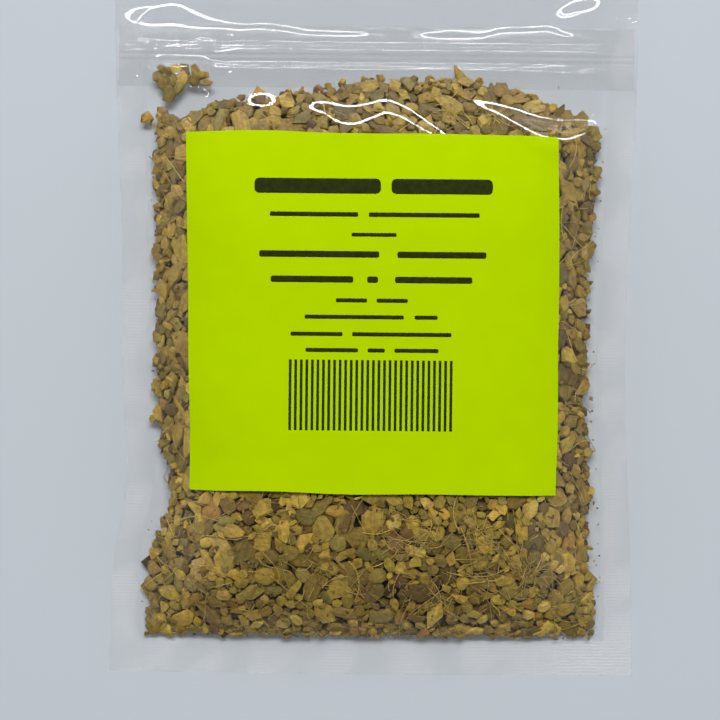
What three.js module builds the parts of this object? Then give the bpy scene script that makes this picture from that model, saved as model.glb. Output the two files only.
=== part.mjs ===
// A resealable clear pouch of dried, cut and sifted ginger root, lying on its back.
// Millimetres, +Z up, +X to the pouch's right, +Y towards its open end.
// The origin is on the surface that it lies on, under the middle of the pouch.
import * as THREE from "three";

// Driving dimensions.
const pouchWidth = 101.6;
const pouchHeight = 152.4;
const filmThickness = 0.12;
const sideSeal = 5.5;
const bottomSeal = 6.7;
const weldGap = 0.06; // between the two films where they are welded
const bulgeHeight = 13.2; // of the front film over the seams

const zipMiddle = 43.2; // along Y
const zipTapeWidth = 12;
const zipTapeThickness = 0.16;
const zipTapeGap = 0.28; // from the pouch's middle plane to the inside of a film, over the tapes
const zipProfileGap = 0.95; // the same, over the interlocking ribs
const zipProfileWidth = 2.6;
const zipShoulder = 1.6; // over which the film climbs from the tapes to the ribs
const zipEndInset = 2.2; // from the side seals to the tapes' ends
const headerGap = 0.35; // the same, between the two lips above the closure

const labelWidth = 70;
const labelHeight = 68.4;
const labelMiddle = { x: -0.5, y: -6.6 };
const labelThickness = 0.1;
const labelLift = 0.28; // over the film

const bulkDepth = 2.9; // of the loose layer between the front film and the bulk
const bulkInset = 5.5; // from the seals to the edge of the bulk
const bulkFloorGap = 0.3;
const bulkLeastHeight = 0.8;

const chipFilmGap = 0.55; // between a chip and the front film
const chipCorners = 8;

const bottomEdge = -pouchHeight / 2;
const topEdge = pouchHeight / 2;
const zipBottom = zipMiddle - zipTapeWidth / 2;
const zipTop = zipMiddle + zipTapeWidth / 2;
const fillEnd = zipMiddle - zipProfileWidth / 2; // where the two films close on the ribs
const fillStart = bottomEdge + bottomSeal;

// Helpers.
const clamp01 = (t) => Math.min(Math.max(t, 0), 1);
const mix = (a, b, t) => a + (b - a) * t;
const bell = (distance, width) => Math.exp(-((distance / width) ** 2));
const rise = (distance, reach, power) => 1 - (1 - clamp01(distance / reach)) ** power;

// The filled pouch draws its side edges in. The left one has a waist under the label.
const leftEdge = (y) => -pouchWidth / 2 + 2.4 * bell(y + 8, 40) + 2.1 * bell(y + 38, 12);
const rightEdge = (y) => pouchWidth / 2 - 2.1 * bell(y + 14, 34);

// Height of the seams over the surface: the corners and the open end lie lowest.
function seamHeight(x, y) {
  const sides = 2.0 * bell(y + 12, 42);
  const closure = 1.2 * bell(y - zipMiddle, 18);
  const foot = 1.4 * bell(x, 30) * bell(y - bottomEdge, 20);
  return 1.2 + sides + closure + foot;
}

// Distances from a point to the four lines where the filled space closes.
function insideDistances(x, y) {
  return {
    left: x - (leftEdge(y) + sideSeal),
    right: rightEdge(y) - sideSeal - x,
    bottom: y - fillStart,
    top: fillEnd - y,
  };
}

// From 0 on the lines where the pouch closes to 1 over its full middle.
function fullness(x, y) {
  const d = insideDistances(x, y);
  return rise(d.left, 26, 2.6) * rise(d.right, 26, 2.6) * rise(d.bottom, 24, 2.5) * rise(d.top, 36, 2.0);
}

// From 0 on those lines to 1 where the back film lies flat on the surface.
function flatness(x, y) {
  const d = insideDistances(x, y);
  const reach = 9;
  return rise(d.left, reach, 2) * rise(d.right, reach, 2) * rise(d.bottom, reach, 2) * rise(d.top, reach, 2);
}

// Half the space between the films at the seams, the closure and the lips above it.
function halfGap(x, y) {
  const d = insideDistances(x, y);
  const inSeal = Math.min(d.left, d.right) <= 0;
  const fromMiddle = Math.abs(y - zipMiddle);
  const nearTape = clamp01((zipTapeWidth / 2 + 2 - fromMiddle) / 2);
  const lip = y > zipMiddle && !inSeal ? headerGap : weldGap / 2;
  const tape = mix(lip, zipTapeGap, nearTape);
  if (inSeal) return tape;
  const overRibs = clamp01((zipProfileWidth / 2 + zipShoulder - fromMiddle) / zipShoulder);
  return mix(tape, zipProfileGap, overRibs);
}

const frontInside = (x, y) => seamHeight(x, y) + halfGap(x, y) + bulgeHeight * fullness(x, y);
const backInside = (x, y) => {
  const seam = seamHeight(x, y) - halfGap(x, y) - filmThickness;
  return seam * (1 - flatness(x, y)) + filmThickness;
};
const frontOutside = (x, y) => frontInside(x, y) + filmThickness;
const backOutside = (x, y) => backInside(x, y) - filmThickness;

// The front film's slope, as its upward normal.
function frontNormal(x, y) {
  const step = 0.5;
  const alongX = (frontInside(x + step, y) - frontInside(x - step, y)) / (2 * step);
  const alongY = (frontInside(x, y + step) - frontInside(x, y - step)) / (2 * step);
  return new THREE.Vector3(-alongX, -alongY, 1).normalize();
}

// A closed solid between two heights over a grid of points: rows of [x, y].
function slab(rows, lower, upper) {
  const across = rows[0].length;
  const positions = [];
  for (const height of [lower, upper]) {
    for (const row of rows) {
      for (const [x, y] of row) positions.push(x, y, height(x, y));
    }
  }
  const layer = rows.length * across;
  const at = (row, column, top) => (top ? layer : 0) + row * across + column;
  const faces = [];
  const quad = (a, b, c, d) => faces.push(a, b, c, a, c, d);
  for (let r = 0; r + 1 < rows.length; r++) {
    for (let c = 0; c + 1 < across; c++) {
      quad(at(r, c, true), at(r, c + 1, true), at(r + 1, c + 1, true), at(r + 1, c, true));
      quad(at(r, c, false), at(r + 1, c, false), at(r + 1, c + 1, false), at(r, c + 1, false));
    }
  }
  const lastRow = rows.length - 1;
  const lastColumn = across - 1;
  for (let c = 0; c < lastColumn; c++) {
    quad(at(0, c, false), at(0, c + 1, false), at(0, c + 1, true), at(0, c, true));
    quad(at(lastRow, c + 1, false), at(lastRow, c, false), at(lastRow, c, true), at(lastRow, c + 1, true));
  }
  for (let r = 0; r < lastRow; r++) {
    quad(at(r + 1, 0, false), at(r, 0, false), at(r, 0, true), at(r + 1, 0, true));
    quad(at(r, lastColumn, false), at(r + 1, lastColumn, false), at(r + 1, lastColumn, true), at(r, lastColumn, true));
  }
  const geometry = new THREE.BufferGeometry();
  geometry.setAttribute("position", new THREE.Float32BufferAttribute(positions, 3));
  geometry.setIndex(faces);
  geometry.computeVertexNormals();
  return geometry;
}

const evenly = (from, to, steps) => Array.from({ length: steps + 1 }, (_, i) => mix(from, to, i / steps));

// Both films share one grid, with rows and columns on the seal lines and round the closure.
const filmRowHeights = [
  ...evenly(bottomEdge, fillStart, 2),
  ...evenly(fillStart, fillStart + 12, 5).slice(1),
  ...evenly(fillStart + 12, zipBottom - 2, 17).slice(1),
  zipBottom,
  zipMiddle - zipProfileWidth / 2 - zipShoulder,
  zipMiddle - zipProfileWidth / 2,
  zipMiddle + zipProfileWidth / 2,
  zipMiddle + zipProfileWidth / 2 + zipShoulder,
  zipTop,
  ...evenly(zipTop + 2, topEdge, 5),
];

function filmRow(y) {
  const left = leftEdge(y);
  const right = rightEdge(y);
  const inner = evenly(left + sideSeal, left + sideSeal + 12, 5);
  const outer = evenly(right - sideSeal - 12, right - sideSeal, 5);
  const middle = evenly(left + sideSeal + 12, right - sideSeal - 12, 9).slice(1, -1);
  return [left, ...inner, ...middle, ...outer, right].map((x) => [x, y]);
}

const filmGrid = filmRowHeights.map(filmRow);

// Materials.
const film = new THREE.MeshStandardMaterial({
  color: 0xe9edef, roughness: 0.08, metalness: 0, transparent: true, opacity: 0.2,
});
const tape = new THREE.MeshStandardMaterial({
  color: 0xdfe4e8, roughness: 0.2, metalness: 0, transparent: true, opacity: 0.35,
});
const paper = new THREE.MeshStandardMaterial({ color: 0xb2d900, roughness: 0.7, metalness: 0 });
const ginger = new THREE.MeshStandardMaterial({ color: 0x9a8040, roughness: 0.85, metalness: 0 });

const pouch = new THREE.Group();
function add(name, geometry, material) {
  const mesh = new THREE.Mesh(geometry, material);
  mesh.name = name;
  pouch.add(mesh);
  return mesh;
}

// The two films.
add("front_film", slab(filmGrid, frontInside, frontOutside), film);
add("back_film", slab(filmGrid, backOutside, backInside), film);

// The press-to-close zip: a tape welded inside each film, with one rib that snaps between two jaws.
// Each section is drawn in Y and Z about the closure's middle line, then runs across the pouch.
function section(points) {
  const shape = new THREE.Shape();
  points.forEach(([along, up], i) => (i ? shape.lineTo(along, up) : shape.moveTo(along, up)));
  shape.closePath();
  return shape;
}

const tapeOuter = zipTapeGap - 0.05;
const tapeInner = tapeOuter - zipTapeThickness;
const halfTape = zipTapeWidth / 2;
const raisedOuter = zipProfileGap - 0.05;
const raisedInner = raisedOuter - zipTapeThickness;
const halfRaised = zipProfileWidth / 2 - 0.15;
const shoulderFoot = zipProfileWidth / 2 + zipShoulder;

// Half of a tape's outer line, from the raised middle out to the free edge.
const tapeEdge = [
  [halfRaised, raisedOuter],
  [shoulderFoot, tapeOuter],
  [halfTape, tapeOuter],
  [halfTape, tapeInner],
  [shoulderFoot - 0.2, tapeInner],
];
const mirrored = (points) => points.map(([along, up]) => [-along, up]).reverse();

const ribHalf = [
  [0.2, raisedInner],
  [0.2, 0.1],
  [0.42, -0.1],
  [0.12, -0.5],
];
const jawHalf = [
  [0.3, 0.45],
  [0.3, 0.25],
  [0.52, 0.05],
  [0.52, -raisedInner],
];
const jawOutside = [
  [1.0, -raisedInner],
  [1.0, 0.2],
  [0.7, 0.45],
];

const frontSection = section([
  ...tapeEdge,
  [halfRaised - 0.1, raisedInner],
  ...ribHalf,
  ...mirrored(ribHalf),
  [-halfRaised + 0.1, raisedInner],
  ...mirrored(tapeEdge),
]);
const backEdge = tapeEdge.map(([along, up]) => [along, -up]);
const backSection = section([
  ...backEdge,
  [halfRaised - 0.1, -raisedInner],
  ...jawOutside,
  ...jawHalf,
  ...mirrored(jawHalf),
  ...mirrored(jawOutside),
  [-halfRaised + 0.1, -raisedInner],
  ...mirrored(backEdge),
]);

// The tapes end just inside the side seals, which close the films over them.
function zipTape(name, shape) {
  const left = leftEdge(zipMiddle) + sideSeal + zipEndInset;
  const right = rightEdge(zipMiddle) - sideSeal - zipEndInset;
  const geometry = new THREE.ExtrudeGeometry(shape, { depth: right - left, bevelEnabled: false });
  // The section's X and Y and its run become the pouch's Y, Z and X.
  geometry.applyMatrix4(
    new THREE.Matrix4().makeBasis(
      new THREE.Vector3(0, 1, 0),
      new THREE.Vector3(0, 0, 1),
      new THREE.Vector3(1, 0, 0),
    ),
  );
  const mesh = add(name, geometry, tape);
  mesh.position.set(left, zipMiddle, 0);
  return mesh;
}

for (const mesh of [zipTape("zip_rib_tape", frontSection), zipTape("zip_jaw_tape", backSection)]) {
  // The tapes follow the pouch's middle plane, which tilts a little along Y.
  const places = mesh.geometry.getAttribute("position");
  for (let i = 0; i < places.count; i++) {
    const x = places.getX(i) + mesh.position.x;
    const y = places.getY(i) + zipMiddle;
    places.setZ(i, places.getZ(i) + seamHeight(x, y));
  }
}

// The paper label, draped on the front film.
const labelRows = evenly(labelMiddle.y - labelHeight / 2, labelMiddle.y + labelHeight / 2, 15).map((y) =>
  evenly(labelMiddle.x - labelWidth / 2, labelMiddle.x + labelWidth / 2, 16).map((x) => [x, y]),
);
const labelUnder = (x, y) => frontOutside(x, y) + labelLift;
add("paper_label", slab(labelRows, labelUnder, (x, y) => labelUnder(x, y) + labelThickness), paper);

// The bulk of the ginger: one closed solid under the loose top layer.
const bulkRows = evenly(fillStart + bulkInset, fillEnd - bulkInset, 18).map((y) =>
  evenly(leftEdge(y) + sideSeal + bulkInset, rightEdge(y) - sideSeal - bulkInset, 15).map((x) => [x, y]),
);
const bulkFloor = (x, y) => backInside(x, y) + bulkFloorGap;
const bulkTop = (x, y) => {
  const top = frontInside(x, y) - bulkDepth / frontNormal(x, y).z;
  return Math.max(top, bulkFloor(x, y) + bulkLeastHeight);
};
add("ginger_bulk", slab(bulkRows, bulkFloor, bulkTop), ginger);

// The larger chips that show through the front film, each [x, y, length, width, turn in degrees].
const chips = [
  // Under the label, along the bottom of the pouch.
  [-34.6, -58.6, 4.6, 4.0, 70],
  [-39.4, -60.8, 5.6, 3.6, -10],
  [-20.1, -56.9, 5.4, 4.6, 15],
  [-18.9, -52.9, 3.8, 3.4, -30],
  [-31.6, -50.2, 3.9, 2.6, 20],
  [-23.3, -45.2, 3.7, 3.6, 40],
  [-28.2, -61.0, 3.9, 3.1, 0],
  [-24.8, -61.4, 3.8, 2.4, 80],
  [-12.4, -45.0, 5.3, 4.0, -20],
  [-6.9, -43.8, 4.7, 2.8, 5],
  [-6.3, -50.0, 4.2, 4.2, 45],
  [-15.2, -52.1, 3.9, 3.8, 10],
  [-8.1, -55.2, 4.8, 3.8, 0],
  [-12.9, -56.6, 3.9, 3.2, -55],
  [1.2, -56.6, 4.4, 3.8, 25],
  [5.5, -57.7, 4.3, 3.1, -15],
  [4.6, -50.2, 4.8, 3.8, 40],
  [4.2, -45.8, 4.6, 3.4, 65],
  [7.7, -45.9, 3.5, 3.4, 10],
  [15.1, -49.6, 4.7, 3.5, -5],
  [18.6, -45.6, 3.8, 2.7, -30],
  [25.6, -49.4, 3.0, 2.9, 20],
  [20.6, -53.8, 4.2, 3.2, 15],
  [27.4, -53.6, 3.9, 3.2, -60],
  [34.6, -50.6, 3.8, 3.3, 80],
  [25.4, -57.3, 4.8, 3.5, 0],
  [30.4, -57.2, 4.6, 2.1, -4],
  [38.0, -58.9, 4.6, 4.2, 50],
  [28.8, -60.3, 4.6, 2.7, 30],
  [33.4, -62.9, 3.7, 3.1, 5],
  [37.8, -63.5, 5.0, 3.6, 15],
  [24.3, -61.4, 3.7, 2.9, -20],
  [17.3, -58.0, 3.4, 3.2, 60],
  // Beside and over the label.
  [-40.2, 14.6, 5.2, 3.0, 75],
  [-40.0, 24.6, 4.6, 2.6, 80],
  [38.4, 22.8, 5.6, 3.4, 70],
  [38.6, 9.6, 4.2, 2.6, 85],
  [-9.6, 34.0, 4.0, 3.0, 10],
  [6.6, 33.2, 4.4, 3.4, 30],
  [18.0, 33.6, 4.2, 2.8, -25],
];

// A flat chip with a blunt, uneven outline: three rings, the middle one widest. The phase makes
// each outline its own, always the same for the same chip.
function chipGeometry(length, width, thickness, phase) {
  const rings = [
    [-thickness / 2, 0.72],
    [0, 1],
    [thickness / 2, 0.78],
  ];
  const positions = [];
  for (const [up, share] of rings) {
    for (let i = 0; i < chipCorners; i++) {
      const angle = (2 * Math.PI * i) / chipCorners;
      const uneven = 1 - 0.08 * (1 + Math.sin(3 * angle + phase));
      positions.push((length / 2) * share * uneven * Math.cos(angle));
      positions.push((width / 2) * share * uneven * Math.sin(angle), up);
    }
  }
  const faces = [];
  for (let ring = 0; ring + 1 < rings.length; ring++) {
    for (let i = 0; i < chipCorners; i++) {
      const a = ring * chipCorners + i;
      const b = ring * chipCorners + ((i + 1) % chipCorners);
      faces.push(a, b, b + chipCorners, a, b + chipCorners, a + chipCorners);
    }
  }
  const last = (rings.length - 1) * chipCorners;
  for (let i = 1; i + 1 < chipCorners; i++) {
    faces.push(0, i + 1, i, last, last + i, last + i + 1);
  }
  const geometry = new THREE.BufferGeometry();
  geometry.setAttribute("position", new THREE.Float32BufferAttribute(positions, 3));
  geometry.setIndex(faces);
  geometry.computeVertexNormals();
  return geometry;
}

const chipThickness = 1.7;
const up = new THREE.Vector3(0, 0, 1);
chips.forEach(([x, y, length, width, turn], i) => {
  const name = "ginger_chip_" + String(i + 1).padStart(2, "0");
  const mesh = add(name, chipGeometry(length, width, chipThickness, i), ginger);
  const normal = frontNormal(x, y);
  mesh.quaternion
    .setFromUnitVectors(up, normal)
    .multiply(new THREE.Quaternion().setFromAxisAngle(up, THREE.MathUtils.degToRad(turn)));
  mesh.position
    .set(x, y, frontInside(x, y))
    .addScaledVector(normal, -chipFilmGap - chipThickness / 2);
});

export default pouch;
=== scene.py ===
# %% [markdown]
# # A clear pouch of dried, cut ginger root
#
# The pouch is two clear films, welded along three sides, with a press-to-close zip near the open end.
# Chopped dried ginger fills it, and a square yellow-green paper label is stuck to its front.
# It lies on its back, so the front faces up (+Z) and the open end points along +Y.
#
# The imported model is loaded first. It is the frame that every new piece is made inside.

# %% Load the frame
import math

import bpy
import numpy as np
from mathutils import Matrix, Vector


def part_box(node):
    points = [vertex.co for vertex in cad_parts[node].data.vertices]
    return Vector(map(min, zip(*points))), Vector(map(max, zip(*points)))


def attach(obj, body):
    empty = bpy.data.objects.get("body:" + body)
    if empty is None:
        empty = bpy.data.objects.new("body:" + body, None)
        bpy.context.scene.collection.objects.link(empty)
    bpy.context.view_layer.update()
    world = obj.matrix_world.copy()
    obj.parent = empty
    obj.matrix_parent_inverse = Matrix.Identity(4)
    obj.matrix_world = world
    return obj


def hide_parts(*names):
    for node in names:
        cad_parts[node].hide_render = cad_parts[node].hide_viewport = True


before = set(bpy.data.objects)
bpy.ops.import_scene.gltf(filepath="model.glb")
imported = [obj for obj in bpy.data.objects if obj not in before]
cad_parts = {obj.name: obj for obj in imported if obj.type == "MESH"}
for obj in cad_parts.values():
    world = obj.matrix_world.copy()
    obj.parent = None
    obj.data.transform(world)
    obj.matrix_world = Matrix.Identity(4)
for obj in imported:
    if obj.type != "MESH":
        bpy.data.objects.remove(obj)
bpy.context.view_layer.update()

MM = 0.001

# %% [markdown]
# ## Small tools
#
# An operator acts on whatever is selected, and loading the frame leaves its parts selected.
# So each piece starts with nothing selected, and in object mode.
# `keep_piece` gives a finished piece its name and finish, the body it rides on, and the parts it stands for.
# `copy_of_node` starts a piece from a part of the frame, whose own mesh must stay as it is.

# %% Tools for every piece
def start_fresh():
    """Object mode, with nothing selected."""
    if bpy.context.object and bpy.context.object.mode != "OBJECT":
        bpy.ops.object.mode_set(mode="OBJECT")
    bpy.ops.object.select_all(action="DESELECT")


def choose(piece):
    """Selects one piece alone."""
    start_fresh()
    piece.select_set(True)
    bpy.context.view_layer.objects.active = piece


def edit_all():
    """Edit mode, with the whole mesh selected."""
    bpy.ops.object.mode_set(mode="EDIT")
    bpy.ops.mesh.select_all(action="SELECT")


def face_outwards():
    """Turns every face of a closed shape outwards, and goes back to object mode."""
    bpy.ops.mesh.select_all(action="SELECT")
    bpy.ops.mesh.normals_make_consistent(inside=False)
    bpy.ops.object.mode_set(mode="OBJECT")


def points_of(piece):
    """The vertices of a piece, as rows of x, y, z in metres."""
    flat = np.empty(len(piece.data.vertices) * 3)
    piece.data.vertices.foreach_get("co", flat)
    return flat.reshape(-1, 3)


def move_points(piece, points):
    """Puts every vertex of a piece at its new place."""
    piece.data.vertices.foreach_set("co", np.ascontiguousarray(points, float).ravel())
    piece.data.update()


def shade(piece, angle):
    """Smooth shading where faces meet at less than the angle, in degrees."""
    choose(piece)
    bpy.ops.object.shade_smooth_by_angle(angle=math.radians(angle))


def copy_of_node(name):
    """A copy of one of the frame's parts, in edit mode, with its loose faces merged."""
    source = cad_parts[name]
    source.hide_set(False)
    choose(source)
    bpy.ops.object.duplicate()
    edit_all()
    bpy.ops.mesh.remove_doubles(threshold=0.00001)
    return bpy.context.object


def keep_piece(piece, name, finish, stands_for=()):
    """Names a finished piece, gives it its finish and joins it to the frame."""
    piece.name = name
    piece.data.name = name
    piece.data.materials.clear()
    piece.data.materials.append(finish)
    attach(piece, "root")
    if stands_for:
        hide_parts(*stands_for)
    print(name, "has", len(piece.data.polygons), "faces")


# %% [markdown]
# ## The form of the pouch
#
# A filled pouch is a low pillow. Its films part quickly from the seams, then run almost level,
# and its side edges are drawn in where it is fullest. The back lies flat on the table.
# These functions give the height of both films at any place, in millimetres.
# They are the same curves as in the CAD source, so every later piece can be laid on or under the films.

# %% Sizes, in millimetres
POUCH_WIDTH = 101.6
POUCH_HEIGHT = 152.4
FILM = 0.12
SIDE_SEAL = 5.5
BOTTOM_SEAL = 6.7
BULGE = 13.2
ZIP_MIDDLE = 43.2
ZIP_WIDTH = 12.0
LABEL_WIDTH = 70.0
LABEL_HEIGHT = 68.4
LABEL_X = -0.5
LABEL_Y = -6.6
BOTTOM_EDGE = -POUCH_HEIGHT / 2
TOP_EDGE = POUCH_HEIGHT / 2
FILL_START = BOTTOM_EDGE + BOTTOM_SEAL
FILL_END = ZIP_MIDDLE - 1.3
ZIP_BOTTOM = ZIP_MIDDLE - ZIP_WIDTH / 2
ZIP_TOP = ZIP_MIDDLE + ZIP_WIDTH / 2
# Half the space between the films: in a seam, over the zip's tapes, and over their ribs.
SEAM_GAP = 0.03
TAPE_GAP = 0.28
RIB_GAP = 0.95
# The films close on the zip over this width, and rise over its ribs, which are twice RIB_HALF wide.
ZIP_FLANK = 4.2
RIB_HALF = 1.3
RIB_FLANK = 1.6


# %% Curves of the pouch
def bell(distance, width):
    """1 at the middle, falling away smoothly on both sides."""
    return np.exp(-((distance / width) ** 2))


def rise(distance, reach, power):
    """From 0 at a seam to 1 at the reach, steepest at the seam."""
    return 1 - (1 - np.clip(distance / reach, 0, 1)) ** power


def ramp(value, low, high):
    """From 0 at low to 1 at high, easing in and out."""
    t = np.clip((value - low) / (high - low), 0, 1)
    return t * t * (3 - 2 * t)


def ripple(x, y, length, seed, waves=14):
    """Gentle random waves of about this length. Most of it lies between -2 and 2."""
    rng = np.random.default_rng(seed)
    total = np.zeros(np.broadcast(x, y).shape)
    for _ in range(waves):
        turn = rng.uniform(0, 2 * math.pi)
        step = length * rng.uniform(0.7, 1.5)
        start = rng.uniform(0, 2 * math.pi)
        along = x * math.cos(turn) + y * math.sin(turn)
        total = total + np.sin(along * 2 * math.pi / step + start)
    return total / math.sqrt(waves / 2)


def left_edge(y):
    return -POUCH_WIDTH / 2 + 2.4 * bell(y + 8, 40) + 2.1 * bell(y + 38, 12)


def right_edge(y):
    return POUCH_WIDTH / 2 - 2.1 * bell(y + 14, 34)


def seam_height(x, y):
    """Of the seams over the table. The corners and the open end lie lowest."""
    sides = 2.0 * bell(y + 12, 42)
    closure = 1.2 * bell(y - ZIP_MIDDLE, 18)
    foot = 1.4 * bell(x, 30) * bell(y - BOTTOM_EDGE, 20)
    return 1.2 + sides + closure + foot


def inside_distances(x, y):
    """From a place to the left seam, the right seam, the bottom seam and the zip."""
    left = x - (left_edge(y) + SIDE_SEAL)
    right = right_edge(y) - SIDE_SEAL - x
    return left, right, y - FILL_START, FILL_END - y


def fullness(x, y):
    left, right, bottom, top = inside_distances(x, y)
    across = rise(left, 26, 2.6) * rise(right, 26, 2.6)
    return across * rise(bottom, 24, 2.5) * rise(top, 36, 2.0)


def flatness(x, y):
    left, right, bottom, top = inside_distances(x, y)
    return rise(left, 9, 2) * rise(right, 9, 2) * rise(bottom, 9, 2) * rise(top, 9, 2)


def opening(x, y):
    """0 in the side seams, and 1 a little way in from them."""
    left, right, _, _ = inside_distances(x, y)
    return ramp(np.minimum(left, right), 0, 2.2)


def half_gap(x, y):
    """Half the space between the films at the seams, the zip and the lips above it."""
    from_middle = np.abs(y - ZIP_MIDDLE)
    lip = SEAM_GAP + 0.32 * opening(x, y) * ramp(y, ZIP_MIDDLE, ZIP_MIDDLE + 2)
    tape = lip + (TAPE_GAP - lip) * ramp(ZIP_WIDTH / 2 + ZIP_FLANK - from_middle, 0, ZIP_FLANK)
    over_ribs = opening(x, y) * ramp(RIB_HALF + RIB_FLANK - from_middle, 0, RIB_FLANK)
    return tape + (RIB_GAP - tape) * over_ribs


def front_form(x, y):
    """The inside of the front film, without its small relief."""
    return seam_height(x, y) + half_gap(x, y) + BULGE * fullness(x, y)


def back_form(x, y):
    """The inside of the back film, without its small relief."""
    seam = seam_height(x, y) - half_gap(x, y) - FILM
    return seam * (1 - flatness(x, y)) + FILM


def room(x, y):
    """The height between the two films."""
    return front_form(x, y) - back_form(x, y)


# %% [markdown]
# ## Creases, puckers and folds
#
# Real film is never a perfect pillow. It puckers where a straight weld meets the full belly,
# the pieces inside press small bumps into it, and the two lips above the zip wave a little.
# The heat-sealing bars leave fine ribs in the bottom weld.
# All of this is added to the height of the film as geometry, because clear film shows only by its glints.

# %% Places of the folds
# Each fold is a row of places along it: x, y, how wide it is there, and how steep.
WINDOW_FOLDS = [
    [(-25.8, 34.2, 2.6, 0.0), (-24.0, 34.2, 2.9, 0.38), (-21.8, 34.3, 3.2, 0.50), (-19.6, 34.2, 2.9, 0.38),
     (-17.8, 34.2, 2.6, 0.0)],
    [(-14.0, 33.2, 2.6, 0.0), (-12.0, 33.0, 2.7, 0.36), (-9.7, 32.9, 3.4, 0.40), (-6.6, 31.0, 5.0, 0.48),
     (-3.4, 31.0, 5.0, 0.47), (2.2, 33.4, 3.8, 0.42), (6.0, 31.6, 3.4, 0.45), (9.7, 29.0, 3.0, 0.50),
     (12.8, 27.4, 2.4, 0.48), (15.0, 26.8, 2.2, 0.0)],
    [(16.0, 34.9, 1.8, 0.0), (18.2, 34.3, 1.8, 0.24), (20.4, 33.9, 2.2, 0.32), (23.5, 32.8, 3.0, 0.38),
     (27.9, 30.6, 4.2, 0.48), (31.0, 29.4, 4.6, 0.62), (34.8, 28.8, 4.6, 0.77), (37.3, 29.1, 4.2, 0.87),
     (40.4, 29.9, 3.4, 0.97), (42.2, 30.8, 2.6, 0.92), (43.6, 31.2, 2.0, 0.0)],
]
LIP_FOLDS = [
    [(-48.0, 50.4, 1.0, 0.0), (-45.0, 50.7, 1.4, 0.31), (-38.7, 51.4, 1.9, 0.31), (-34.2, 49.8, 1.1, 0.31),
     (-30.4, 49.4, 0.6, 0.31), (-25.9, 48.8, 0.45, 0.31), (-22.7, 49.2, 0.5, 0.31),
     (-18.2, 48.8, 0.45, 0.31), (-13.1, 47.9, 0.4, 0.28), (-3.5, 47.7, 0.35, 0.26), (0.0, 47.7, 0.35, 0.0)],
    [(8.0, 47.6, 0.4, 0.0), (10.0, 47.6, 0.4, 0.28), (14.5, 47.8, 0.8, 0.31), (21.5, 47.7, 0.4, 0.31),
     (23.2, 48.7, 0.45, 0.31), (31.8, 49.0, 0.45, 0.31), (33.7, 49.5, 0.45, 0.31), (35.2, 48.4, 0.4, 0.31),
     (37.0, 47.9, 0.35, 0.28), (39.0, 47.8, 0.3, 0.0)],
    [(34.7, 52.0, 0.8, 0.0), (36.2, 52.4, 0.9, 0.29), (38.2, 53.4, 1.0, 0.33), (42.0, 54.1, 0.9, 0.32),
     (43.8, 54.4, 0.8, 0.0)],
]
STRAY = (-37.6, 38.6)
# Patches of fine wrinkles: x, y, half the width, half the height.
CRINKLES = [(-33, 45.4, 16, 1.7), (-38, 39.6, 10, 2.2)]


def clump_bump(x, y):
    """Where a few chips are caught between the zip tapes."""
    return 1.15 * np.exp(-(((x - STRAY[0]) / 5.6) ** 4) - ((y - STRAY[1]) / 3.4) ** 4)


def along_fold(x, fold, column):
    """A value of the fold at x, eased between its places."""
    places = [row[0] for row in fold]
    values = [row[column] for row in fold]
    return sum(np.interp(x + shift, places, values) for shift in (-1.2, -0.6, 0, 0.6, 1.2)) / 5


def across_fold(x, y, fold):
    """How far a place is from the middle of the fold, in widths, and the fold's depth there."""
    width = along_fold(x, fold, 2)
    return (y - along_fold(x, fold, 1)) / width, along_fold(x, fold, 3) * width


# %% Relief of the films
def window_folds(x, y):
    """Soft folds across the slope below the zip. Each is a rise and a dip beside it."""
    total = np.zeros(np.broadcast(x, y).shape)
    for fold in WINDOW_FOLDS:
        v, depth = across_fold(x, y, fold)
        total = total - depth * v * np.exp(-v * v)
    return total


def crinkles(x, y):
    """Fine level wrinkles at the left, where the zip has been pressed open and shut."""
    share = sum(np.exp(-((x - cx) / wide) ** 4 - ((y - cy) / high) ** 4) for cx, cy, wide, high in CRINKLES)
    return 0.06 * share * ripple(x * 0.12, y, 0.85, 17)


def seal_ribs(y):
    """The fine ribs that the sealing bars press into the bottom weld."""
    in_seal = ramp(FILL_START - y, 0, 0.4) * ramp(y, BOTTOM_EDGE + 0.3, BOTTOM_EDGE + 0.7)
    return 0.03 * in_seal * np.sin(y * 2 * math.pi / 0.62)


def lip_waves(x, y):
    """Of both lips above the zip: a slow wave, and a low step at each fold."""
    above = ramp(y, ZIP_TOP - 1, ZIP_TOP + 16)
    total = above * (0.55 + np.maximum(0.12 * ripple(x, y * 0.5, 36, 31), -0.4))
    recover = 1 - ramp(y, 57, 75)
    for fold in LIP_FOLDS:
        v, depth = across_fold(x, y, fold)
        total = total - depth * (1 + np.tanh(v)) * recover
    return total


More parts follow.
